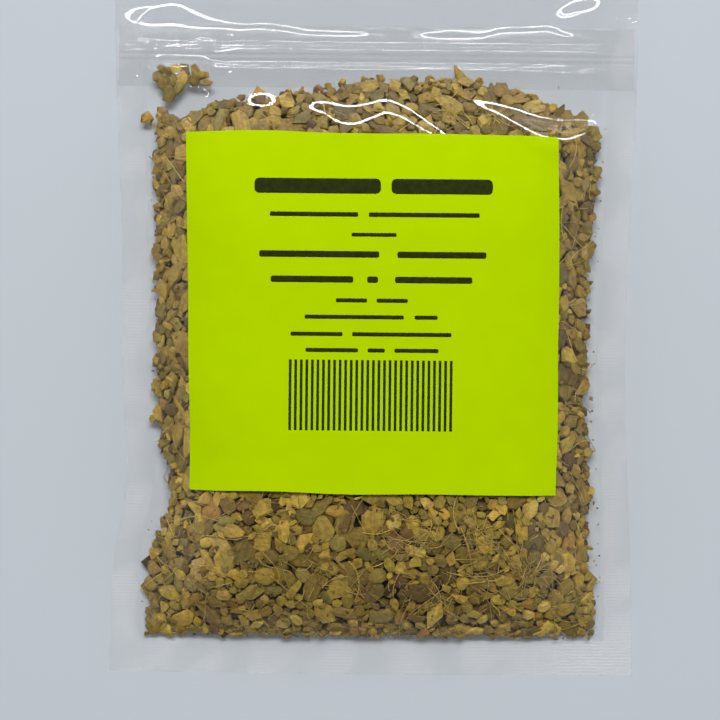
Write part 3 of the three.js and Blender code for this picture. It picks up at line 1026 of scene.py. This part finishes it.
# %% The shapes
PLATES = [
    model_chip(corners, 0.62, 0.08, taper, 0, dish, 0.9, seed)
    for corners, taper, dish, seed in [
        (6, 0.95, False, 1), (5, 0.92, False, 2), (7, 0.96, True, 3), (5, 0.88, False, 4),
        (6, 0.90, False, 5), (4, 0.94, False, 6), (8, 0.95, False, 7), (7, 0.90, False, 8),
        (5, 0.95, True, 9), (6, 0.86, False, 10), (4, 0.90, False, 11), (7, 0.93, False, 12),
    ]
]
CHUNKS = [
    model_chip(corners, thickness, 0.16, taper, cuts, False, 1.2, seed)
    for corners, thickness, taper, cuts, seed in [
        (5, 0.90, 0.85, 1, 21), (5, 1.00, 0.80, 1, 22), (6, 0.95, 0.78, 1, 23), (5, 1.15, 0.85, 2, 24),
        (7, 0.85, 0.82, 0, 25), (5, 1.20, 0.70, 1, 26), (4, 0.95, 0.80, 2, 27), (6, 0.75, 0.88, 2, 28),
        (7, 0.95, 0.74, 0, 29), (4, 0.80, 0.90, 1, 30),
    ]
]
for kind, shapes in (("plates", PLATES), ("chunks", CHUNKS)):
    print(len(shapes), kind, "with", [len(faces) for _, faces in shapes], "faces")

# %% [markdown]
# ## Packing the chips
#
# Shaken down against the film, loose chips settle side by side with few gaps.
# A rigid-body simulation of thousands of chips would take too long, so each layer is packed as discs:
# they start at random places, and overlapping pairs push each other apart until they are settled.
# The chips that the frame already holds stay where they are, and push the others away.

# %% Where the chips lie
def fill_left(y):
    """The left side of the filling, which has a waist below the label."""
    inset = 1.0 + 0.9 * ramp(y, 5, 30) + 2.6 * bell(y + 43, 8) + 0.45 * ripple(y * 0.1, y, 3.6, 62)
    return left_edge(y) + SIDE_SEAL + np.maximum(inset, 0.1)


def fill_right(y):
    inset = 2.0 + 0.9 * bell(y + 51, 6) + 0.55 * ripple(y * 0.1, y, 3.6, 63)
    return right_edge(y) - SIDE_SEAL - np.maximum(inset, 0.1)


# The filling is highest in the middle, and falls to shoulders at both sides. Each row is x and y.
FILL_TOP = [
    (-46, 30), (-43, 31), (-33, 32), (-28.6, 34.2), (-23.7, 34.8), (-18, 35.0), (-12, 35.4), (-7, 37.2),
    (0, 38.4), (19, 38.9), (26, 36.8), (32, 34.8), (39, 31.8), (46, 28),
]
FILL_FOOT = FILL_START + 0.9
FILL_SIDES = (-45, 44)
FILL_CREST = 40


def fill_top(x):
    return np.interp(x, *zip(*FILL_TOP)) + 0.5 * ripple(x, x * 0.1, 4.5, 61)


def keep_inside(x, y, radius):
    """Moves disc centres back within the filling's outline."""
    r = radius * 0.85
    y = np.maximum(y, FILL_FOOT + r)
    y = np.minimum(y, fill_top(x) - r)
    x = np.maximum(x, fill_left(y) + r)
    x = np.minimum(x, fill_right(y) - r)
    return x, y


# %% Pack a layer
# Discs further apart than this can't meet before the pairs are looked for again.
NEAR = 6.5


def settle_discs(x, y, radius, fixed, rounds):
    """Pushes overlapping discs apart. Fixed ones don't move."""
    count = len(x)
    for number in range(rounds):
        if number % 8 == 0:
            near = np.hypot(x[:, None] - x, y[:, None] - y) < NEAR
            first, second = np.nonzero(np.triu(near, 1))
            touching = radius[first] + radius[second]
        dx = x[first] - x[second]
        dy = y[first] - y[second]
        away = np.hypot(dx, dy) + 1e-6
        push = np.maximum(touching - away, 0) * 0.42 / away
        move_x = np.bincount(first, dx * push, count) - np.bincount(second, dx * push, count)
        move_y = np.bincount(first, dy * push, count) - np.bincount(second, dy * push, count)
        limit = np.minimum(1, 0.8 / np.maximum(np.hypot(move_x, move_y), 1e-6))
        new_x, new_y = keep_inside(x + move_x * limit, y + move_y * limit, radius)
        x = np.where(fixed, x, new_x)
        y = np.where(fixed, y, new_y)
    return x, y


FILL_AREA = 84.5 * 103.0


def anywhere(rng, count):
    """Random places over the whole filling."""
    return rng.uniform(*FILL_SIDES, count), rng.uniform(FILL_FOOT, FILL_CREST, count)


def pack_layer(seed, mean_radius, cover, held=()):
    """Places and radii for one layer. Held discs are x, y, radius rows, and aren't returned."""
    rng = np.random.default_rng(seed)
    area = FILL_AREA - sum(math.pi * r * r for _, _, r in held)
    sizes = []
    while sum(math.pi * r * r for r in sizes) < area * cover:
        sizes.append(float(np.clip(rng.lognormal(math.log(mean_radius), 0.38), 0.45, 2.3)))
    sizes = np.array(sizes)
    count = len(sizes)
    x, y = anywhere(rng, count)
    radius = np.concatenate([sizes, [r for _, _, r in held]])
    fixed = np.arange(len(radius)) >= count
    x = np.concatenate([x, [hx for hx, _, _ in held]])
    y = np.concatenate([y, [hy for _, hy, _ in held]])
    x, y = settle_discs(x, y, radius, fixed, 200)
    return x[:count], y[:count], sizes


# %% [markdown]
# ## Turning places into chips
#
# A chip against the film lies with its broad face pressed to it, so its up axis follows the film's slope,
# give or take a few degrees. A point that would pass through a film is moved back to it, which also
# flattens the chip where it touches, as the film does by pressing. All chips of a layer become one mesh.
# Each point also keeps its chip's colour and its place on the chip, for the ginger finish.

# %% Tones, and copies as one mesh
# Colours of dried ginger as red, green and blue shares of light, each with how common it is.
GINGER_TONES = [
    ((0.356, 0.245, 0.040), 6), ((0.402, 0.282, 0.046), 5), ((0.308, 0.213, 0.036), 5),
    ((0.460, 0.332, 0.056), 3), ((0.270, 0.203, 0.045), 3), ((0.246, 0.165, 0.034), 3),
    ((0.490, 0.352, 0.084), 2), ((0.202, 0.123, 0.036), 0.8), ((0.352, 0.203, 0.040), 0.6),
    ((0.176, 0.132, 0.032), 0.8), ((0.450, 0.318, 0.038), 1),
]


def pick_tones(rng, count):
    shares = np.array([share for _, share in GINGER_TONES], float)
    which = rng.choice(len(GINGER_TONES), size=count, p=shares / shares.sum())
    tones = np.array([tone for tone, _ in GINGER_TONES])[which]
    return tones * rng.uniform(0.56, 1.42, (count, 1)) * rng.uniform(0.96, 1.04, (count, 3))


def add_attributes(piece, tone, grain):
    colours = np.concatenate([tone, np.ones((len(tone), 1))], axis=1).astype(np.float32)
    attribute = piece.data.attributes.new("tone", "FLOAT_COLOR", "POINT")
    attribute.data.foreach_set("color", colours.ravel())
    attribute = piece.data.attributes.new("grain", "FLOAT_VECTOR", "POINT")
    attribute.data.foreach_set("vector", grain.astype(np.float32).ravel())


def join_copies(copies):
    """One mesh from many copies. Each is its points in millimetres, faces, tone and grain."""
    all_faces = []
    start = 0
    for points, faces, _, _ in copies:
        all_faces.extend([[start + v for v in face] for face in faces])
        start += len(points)
    points, _, tone, grain = zip(*copies)
    mesh = bpy.data.meshes.new("copies")
    mesh.from_pydata((np.concatenate(points) * MM).tolist(), [], all_faces)
    mesh.validate()
    piece = bpy.data.objects.new("copies", mesh)
    bpy.context.scene.collection.objects.link(piece)
    add_attributes(piece, np.concatenate(tone), np.concatenate(grain))
    shade(piece, 38)
    return piece


CLEARANCE = 0.04


def between_films(points):
    """Moves points that would pass through a film back inside it."""
    x, y = points[:, 0], points[:, 1]
    top = front_inside(x, y) - CLEARANCE
    ground = back_inside(x, y) + CLEARANCE
    middle = (top + ground) / 2
    points[:, 2] = np.clip(points[:, 2], np.minimum(ground, middle), np.maximum(top, middle))
    return points


# %% Scatter the chips
def turn_matrix(axis, angle):
    """A rotation about a unit axis, as rows for numpy."""
    return np.array(Matrix.Rotation(float(angle), 3, Vector(axis)))


def scatter_chips(x, y, z, up, radius, thickness, tilt, seed, chunky=0.35, spread=1.12, dim=(1, 1, 1)):
    """Copies chips to places in millimetres.

    `up` is each chip's broad side, `tilt` its unevenness in degrees, `chunky` the share of thick ones,
    `spread` how far they reach over their neighbours, and the last argument their painted shade and tint in
    red, green and blue.
    """
    rng = np.random.default_rng(seed)
    # Some layers are painted darker, as the shade in the gaps, and some are only tinted.
    tones = pick_tones(rng, len(x)) * np.array(dim)
    copies = []
    for i in range(len(x)):
        thick = rng.random() < chunky
        kinds = CHUNKS if thick else PLATES
        shape, faces = kinds[rng.integers(len(kinds))]
        stretch = rng.uniform(1.0, 1.4)
        if rng.random() < 0.06:
            stretch = rng.uniform(1.4, 1.9)
        size = np.array([radius[i] * stretch, radius[i] / stretch ** 0.8, thickness[i]]) * spread
        tilt_axis = Vector((rng.normal(), rng.normal(), 0.001)).normalized()
        lean = math.radians(rng.normal(0, tilt * (2.5 if thick else 1.0)))
        lie = Vector((0, 0, 1)).rotation_difference(Vector(up[i]))
        turned = np.array(lie.to_matrix()) @ turn_matrix(tilt_axis, lean)
        turned = turned @ turn_matrix((0, 0, 1), rng.uniform(0, 2 * math.pi))
        points = between_films(shape * size @ turned.T + (x[i], y[i], z[i]))
        # Painted light and shade: the broad faces are painted lighter, and the sides between them darker.
        face_light_and_shade = 0.92 + 0.14 * np.clip(np.abs(shape[:, 2]) / 0.4, 0, 1)
        copies.append((points, faces, tones[i] * face_light_and_shade[:, None], shape + rng.uniform(0, 40, 3)))
    return join_copies(copies)


def against_front(x, y, depth):
    """Heights and broad sides for chips this far under the front film."""
    up = slope_normals(front_form, x, y)
    return front_form(x, y) - depth / up[:, 2], up


def keep_ginger(piece, name, stands_for=()):
    keep_piece(piece, name, ginger_flesh, stands_for)


def random_thickness(rng, count, mean, spread, low, high):
    return np.clip(rng.normal(mean, spread, count), low, high)


def random_radius(rng, count, usual, spread, low, high):
    return np.clip(rng.lognormal(math.log(usual), spread, count), low, high)


# %% The chips of the frame
# Each larger chip at the front is in the frame, and holds its place while the others are packed.
big_nodes = sorted(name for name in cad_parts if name.startswith("ginger_chip_"))
held = []
for name in big_nodes:
    low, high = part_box(name)
    middle = (low + high) / 2 / MM
    span = (high - low) / MM
    held.append((middle.x, middle.y, 0.24 * (span.x + span.y)))
print(len(big_nodes), "chips are held in place")

# %% The layer against the front film
x, y, radius = pack_layer(71, 1.02, 1.00, held)
# Where the films close on each other, only the smaller chips find room.
radius = np.minimum(radius, 0.5 + 0.28 * np.maximum(room(x, y), 1.0))
rng = np.random.default_rng(72)
thickness = random_thickness(rng, len(x), 0.80, 0.14, 0.5, 1.1)
thickness = np.minimum(thickness, 0.8 * np.maximum(room(x, y), 0.6))
depth = 0.30 + rng.uniform(0, 0.95, len(x))
for held_x, held_y, held_radius in held:
    beside = np.hypot(x - held_x, y - held_y) < held_radius + radius * 1.2
    depth = np.where(beside, np.maximum(depth, 1.1), depth)
z, up = against_front(x, y, depth)
# Beside and above the label, the heap stands away from the film, and its chips there are painted darker: a
# painted shade.
outer_shade_share = np.maximum(ramp(y, 25, 31), ramp(np.abs(x - LABEL_X), 34, 37) * ramp(y, -46, -40))
outer_dim = 1 - 0.12 * outer_shade_share[:, None]
chips_front = scatter_chips(
    x, y, z, up, radius, thickness, tilt=6, seed=73, chunky=0.30, spread=1.30, dim=outer_dim)
keep_ginger(chips_front, "chips_front")

# %% [markdown]
# Broken bits fill the small gaps between the chips. They are the same shapes again, much smaller,
# and turned every way. They are painted darker, as the shade in the gaps.

# %% Broken bits
def well_under_label(x, y, margin):
    """Whether the label hides a place, at least this far in from its edges."""
    across = np.abs(x - LABEL_X) < LABEL_WIDTH / 2 - margin
    return across & (np.abs(y - LABEL_Y) < LABEL_HEIGHT / 2 - margin)


BROKEN_BITS = 1500
rng = np.random.default_rng(75)
x, y = anywhere(rng, BROKEN_BITS)
radius = random_radius(rng, BROKEN_BITS, 0.42, 0.30, 0.22, 0.75)
x, y = keep_inside(x, y, radius)
shown = ~well_under_label(x, y, 2)
x, y, radius = x[shown], y[shown], radius[shown]
z, up = against_front(x, y, 0.30 + rng.uniform(0, 1.1, len(x)))
# Painted darker and purpler, as the shade in the gaps between the chips.
broken_bits = scatter_chips(
    x, y, z, up, radius, radius * 1.1, tilt=30, seed=76, chunky=0.6, spread=1.1, dim=(0.72, 0.66, 0.74))
keep_ginger(broken_bits, "broken_bits")

# %% [markdown]
# Under the first layer, a second one fills the gaps. Its chips lie at steeper angles, as in a heap.
# The label hides most of it, so it is left out well inside the label's edges. A third lies on the back film.

# %% The second layer
x, y, radius = pack_layer(81, 1.15, 0.92)
kept = ~well_under_label(x, y, 4) & (room(x, y) > 3.0)
x, y, radius = x[kept], y[kept], radius[kept]
rng = np.random.default_rng(82)
thickness = random_thickness(rng, len(x), 1.0, 0.2, 0.6, 1.5)
z, up = against_front(x, y, 1.75 + rng.uniform(-0.2, 0.5, len(x)))
# Painted much darker and purpler: the shade deep in the gaps.
chips_second = scatter_chips(
    x, y, z, up, radius, thickness, tilt=20, seed=83, chunky=0.4, spread=1.2, dim=(0.40, 0.32, 0.42))
keep_ginger(chips_second, "chips_second")

# %% The layer against the back film
x, y, radius = pack_layer(91, 1.25, 0.96)
kept = room(x, y) > 2.4
x, y, radius = x[kept], y[kept], radius[kept]
rng = np.random.default_rng(92)
thickness = random_thickness(rng, len(x), 1.0, 0.2, 0.6, 1.5)
up = -slope_normals(back_form, x, y)
z = back_form(x, y) + 0.15 + thickness * 0.45 + rng.uniform(0, 0.5, len(x))
chips_back = scatter_chips(x, y, z, up, radius, thickness, tilt=7, seed=93, spread=1.25)
keep_ginger(chips_back, "chips_back")

# %% [markdown]
# Round the outside, the films close on the filling, and the chips there turn every way.
# They are laid in a ring that follows the filling's outline, at any height between the films.

# %% The rim
RIM_CHIPS = 620
rng = np.random.default_rng(101)
ring = []
for _ in range(RIM_CHIPS):
    side = rng.choice(4, p=[0.29, 0.29, 0.22, 0.20])
    inset = rng.uniform(0.5, 4.2)
    along_y = rng.uniform(FILL_FOOT, 30)
    along_x = rng.uniform(-43, 41)
    ring.append([
        (fill_left(along_y) + inset, along_y),
        (fill_right(along_y) - inset, along_y),
        (along_x, FILL_FOOT + inset),
        (along_x, fill_top(along_x) - inset),
    ][side])
x, y = np.array(ring, float).T
x, y = keep_inside(x, y, np.full(len(x), 0.9))
z = back_form(x, y) + rng.uniform(0.2, 0.8, len(x)) * room(x, y)
radius = random_radius(rng, len(x), 1.05, 0.3, 0.5, 1.8)
thickness = random_thickness(rng, len(x), 0.9, 0.2, 0.5, 1.4)
thickness = np.minimum(thickness, 0.6 * np.maximum(room(x, y), 0.8))
up = slope_normals(front_form, x, y)
chips_rim = scatter_chips(x, y, z, up, radius, thickness, tilt=18, seed=103, chunky=0.4, spread=1.15)
keep_ginger(chips_rim, "chips_rim")

# %% [markdown]
# ## The larger chips
#
# The chips that stand out at the front are each a piece of their own. Each starts as a copy of its part in
# the frame, so its place, size and turn are already right. Its loose faces are merged, and it is subdivided
# with a little randomness and smoothed, which leaves the broken and fibrous surface of dried root.

# %% Detail the larger chips
def detail_chip(name, seed):
    chip = copy_of_node(name)
    bpy.ops.mesh.dissolve_limited(angle_limit=math.radians(4))
    bpy.ops.mesh.select_all(action="SELECT")
    bpy.ops.mesh.quads_convert_to_tris()
    bpy.ops.mesh.subdivide(
        number_cuts=2, smoothness=0.25, fractal=0.16, fractal_along_normal=0.8, seed=seed)
    bpy.ops.mesh.vertices_smooth(factor=0.5, repeat=1)
    face_outwards()
    points = between_films(points_of(chip) / MM)
    move_points(chip, points * MM)
    middle = points.mean(0)
    _, axes = np.linalg.eigh(np.cov((points - middle).T))
    grain = (points - middle) @ axes[:, ::-1] / 1.9
    rng = np.random.default_rng(seed)
    tone = np.repeat(pick_tones(rng, 1), len(points), axis=0)
    add_attributes(chip, tone, grain + rng.uniform(0, 40, 3))
    shade(chip, 42)
    return chip


for number, name in enumerate(big_nodes):
    big_chip = detail_chip(name, 200 + number)
    new_name = name.replace("ginger_chip", "large_chip")
    keep_ginger(big_chip, new_name, [name])

# %% [markdown]
# ## The heart of the filling
#
# Only the outer chips can be seen, so the middle of the heap is one lumpy body, close under them.
# It starts as a copy of the frame's bulk, is subdivided, and is given bumps the size of chips.
# Its colour is painted shade, far darker than any chip: the dark that shows in the deepest gaps.

# %% Lumpy heart
# A painted shade, much darker than dried ginger.
HEART_PAINTED_SHADE = (0.065, 0.038, 0.030)
heart = copy_of_node("ginger_bulk")
bpy.ops.mesh.subdivide(number_cuts=3, smoothness=0)
bpy.ops.object.mode_set(mode="OBJECT")
points = points_of(heart) / MM
y = np.clip(points[:, 1], FILL_FOOT + 5, fill_top(points[:, 0]) - 6)
x = np.clip(points[:, 0], fill_left(y) + 5, fill_right(y) - 5)
ground = back_form(x, y) + 1.9
ceiling, _ = against_front(x, y, 3.1)
ceiling = np.maximum(ceiling, ground + 0.1)
lumps = 0.35 * ripple(x, y, 3.2, 111)
upper = points[:, 2] > (ceiling + ground) / 2
z = np.where(upper, ceiling - 0.5 + lumps, ground + 0.3 - np.minimum(lumps, 0.3))
points = np.stack([x, y, np.maximum(z, ground - 0.3)], axis=1)
move_points(heart, points * MM)
shade(heart, 50)
add_attributes(heart, np.tile(HEART_PAINTED_SHADE, (len(points), 1)), points / 2)
keep_ginger(heart, "heart_of_filling", ["ginger_bulk"])

# %% [markdown]
# ## Fibres
#
# Fine straw-coloured fibres pulled from the root lie over and between the chips, mostly against the film.
# A few are drawn as Bezier curves with a round section and made into meshes.
# The copies are laid on the inside of the film, each with its own length and turn.

# %% Draw the fibres
FIBRE_DRAWN = 0.02


def draw_fibre(bend_one, bend_two, kink):
    """A fibre one unit long, along X: its middle line, its round section as a unit offset, and its faces."""
    start_fresh()
    bpy.ops.curve.primitive_bezier_curve_add()
    fibre = bpy.context.object
    fibre.data.resolution_u = 9
    fibre.data.bevel_resolution = 0
    fibre.data.use_fill_caps = True
    spline = fibre.data.splines[0]
    ends = [((-0.5, 0, 0), bend_one), ((0.5, kink, 0), bend_two)]
    for point, (place, bend) in zip(spline.bezier_points, ends):
        point.handle_left_type = "FREE"
        point.handle_right_type = "FREE"
        point.co = place
        point.handle_left = (place[0] - 0.3, place[1] - bend, 0)
        point.handle_right = (place[0] + 0.3, place[1] + bend, 0)
    fibre.data.bevel_depth = FIBRE_DRAWN
    bpy.ops.object.convert(target="MESH")
    rings = points_of(fibre).reshape(-1, 4, 3)
    middle = np.repeat(rings.mean(axis=1), 4, axis=0)
    section = (rings.reshape(-1, 3) - middle) / FIBRE_DRAWN
    faces = [list(face.vertices) for face in fibre.data.polygons]
    bpy.ops.object.delete()
    return middle, section, faces


FIBRE_SHAPES = [
    draw_fibre(0.05, -0.04, 0.0), draw_fibre(0.18, 0.15, 0.04), draw_fibre(-0.12, 0.20, -0.03),
    draw_fibre(0.28, -0.22, 0.0), draw_fibre(0.03, 0.02, 0.02), draw_fibre(-0.26, -0.10, 0.08),
]
print("fibre shapes have", [len(faces) for _, _, faces in FIBRE_SHAPES], "faces")


# %% Lay the fibres
STRAW = np.array([0.60, 0.45, 0.12])
# Most lie below the label, and these shares all over, along the sides and in the tufts.
ALL_OVER = 0.4
ALONG_SIDES = 0.22
IN_TUFTS = 0.35


def lay_fibres(count, surface, sign, seed):
    """Fibres on the inside of a film. `sign` is -1 below the front film and 1 above the back one."""
    rng = np.random.default_rng(seed)
    # Some lie in loose tufts, mostly below the label.
    tufts = [(rng.uniform(-38, 36), rng.uniform(-66, -44)) for _ in range(9)]
    tufts += [(rng.uniform(-26, 34), rng.uniform(30, 35)) for _ in range(3)]
    copies = []
    for _ in range(count):
        middle, section, faces = FIBRE_SHAPES[rng.integers(len(FIBRE_SHAPES))]
        length = float(np.clip(rng.lognormal(math.log(5.2), 0.45), 2.0, 15))
        width = rng.uniform(0.08, 0.20)
        turn = rng.uniform(0, 2 * math.pi)
        cx = rng.uniform(-41, 40)
        highest = 36 if rng.random() < ALL_OVER else -38
        cy = rng.uniform(FILL_FOOT + 1, highest)
        if rng.random() < ALONG_SIDES:
            cx = rng.choice([-1, 1]) * rng.uniform(35, 42)
            cy = rng.uniform(FILL_FOOT + 1, 30)
        if rng.random() < IN_TUFTS:
            tuft_x, tuft_y = tufts[rng.integers(len(tufts))]
            cx = tuft_x + rng.normal(0, 2.2)
            cy = tuft_y + rng.normal(0, 1.8)
        across = middle[:, 1] * length + section[:, 1] * width / 2
        along = middle[:, 0] * length + section[:, 0] * width / 2
        x = cx + along * math.cos(turn) - across * math.sin(turn)
        y = cy + along * math.sin(turn) + across * math.cos(turn)
        x, y = keep_inside(x, y, np.full(len(x), -1.2))
        dip = 0.32 + 0.34 * np.sin(along / length * rng.uniform(4, 11) + rng.uniform(0, 6))
        z = surface(x, y) + sign * (0.12 + width / 2 + dip) + section[:, 2] * width / 2
        points = between_films(np.stack([x, y, z], axis=1))
        tone = np.tile(STRAW * rng.uniform(0.55, 1.15), (len(points), 1))
        grain = np.stack([along, section[:, 1], section[:, 2]], axis=1) + rng.uniform(0, 40, 3)
        copies.append((points, faces, tone, grain))
    return join_copies(copies)


keep_piece(lay_fibres(560, front_inside, -1, 121), "fibres_front", ginger_fibre)
keep_piece(lay_fibres(110, back_inside, 1, 122), "fibres_back", ginger_fibre)

# %% [markdown]
# ## Strays, loose chips and dust
#
# A few chips are caught between the zip tapes at the left, and one has worked into the left seam.
# Others lie singly along the top of the heap, where the shaken filling has left gaps between them.
# Siftings gather along the bottom weld and in the side seams. All are copies of the same shapes,
# and lie halfway between the films.

# %% Strays and loose chips
# Each row is x, y and radius.
STRAYS = [
    (-42.1, 39.1, 1.3), (-40.5, 40.2, 1.2), (-38.8, 40.6, 1.2), (-36.9, 40.6, 1.2), (-34.9, 40.2, 1.2),
    (-33.4, 39.4, 1.2), (-32.6, 37.9, 1.0), (-41.1, 37.9, 1.3), (-39.2, 38.7, 1.3), (-37.3, 38.7, 1.3),
    (-35.3, 38.5, 1.2), (-40.0, 36.0, 1.5), (-38.0, 37.1, 1.2), (-42.5, -27.2, 0.8),
]
LOOSE_CHIPS = [
    (-22.4, 36.1, 1.6), (-20.4, 35.3, 0.8), (-17.1, 35.8, 0.9), (-16.7, 37.2, 0.6), (-14.4, 37.0, 1.0),
    (-12.9, 36.1, 0.8), (-10.9, 37.4, 1.2), (-9.1, 38.3, 0.7), (-6.4, 38.9, 0.8), (-2.2, 39.5, 0.8),
    (1.1, 39.9, 0.9), (7.5, 39.9, 0.8), (10.4, 39.8, 1.0), (16.7, 39.9, 1.1), (20.0, 39.5, 0.9),
    (23.8, 38.2, 1.0), (27.2, 37.2, 1.2), (30.4, 36.2, 1.2), (33.4, 34.4, 1.1), (35.6, 33.4, 0.8),
    (-31.0, 34.0, 0.8), (-44.4, 31.8, 1.2), (38.6, 32.4, 0.9), (-25.9, 36.0, 0.7),
]


def scatter_halfway(x, y, radius, thickness, tilt, seed, **looks):
    """Chips that lie level, halfway between the films."""
    up = np.tile([0.0, 0.0, 1.0], (len(x), 1))
    return scatter_chips(x, y, halfway(x, y), up, radius, thickness, tilt, seed, **looks)


x, y, radius = np.array(STRAYS).T
strays = scatter_halfway(x, y, radius, np.full(len(x), 0.8), 8, 131)
keep_ginger(strays, "stray_chips")
x, y, radius = np.array(LOOSE_CHIPS).T
# They have settled a little, and reach over their neighbours.
y = y - 0.9
radius = radius * 1.15
loose = scatter_halfway(
    x, y, radius, np.full(len(x), 0.9), 14, 135, chunky=0.5, spread=1.1, dim=(1.0, 0.90, 0.80))
keep_ginger(loose, "loose_chips")

# %% Siftings
# Most lie along the bottom weld, then in the right and the left seam, and a few above the heap.
SIFTINGS = 260
rng = np.random.default_rng(141)
dust_x, dust_y = [], []
for _ in range(SIFTINGS):
    pick = rng.random()
    if pick < 0.62:
        dust_x.append(rng.uniform(-44, 43))
        dust_y.append(FILL_START + 0.25 + abs(rng.normal(0, 0.9)))
    elif pick < 0.8:
        dust_y.append(rng.uniform(-68, 30))
        dust_x.append(float(right_edge(dust_y[-1])) - SIDE_SEAL - 0.3 - abs(rng.normal(0, 0.8)))
    elif pick < 0.93:
        dust_y.append(rng.uniform(-68, 30))
        dust_x.append(float(left_edge(dust_y[-1])) + SIDE_SEAL + 0.3 + abs(rng.normal(0, 0.7)))
    else:
        dust_x.append(rng.uniform(-40, 40))
        dust_y.append(rng.uniform(30, 38))
radius = random_radius(rng, SIFTINGS, 0.16, 0.45, 0.07, 0.5)
dust = scatter_halfway(np.array(dust_x), np.array(dust_y), radius, radius, 40, 143)
keep_ginger(dust, "siftings")

# %% [markdown]
# ## Finish

# %% Finish
start_fresh()
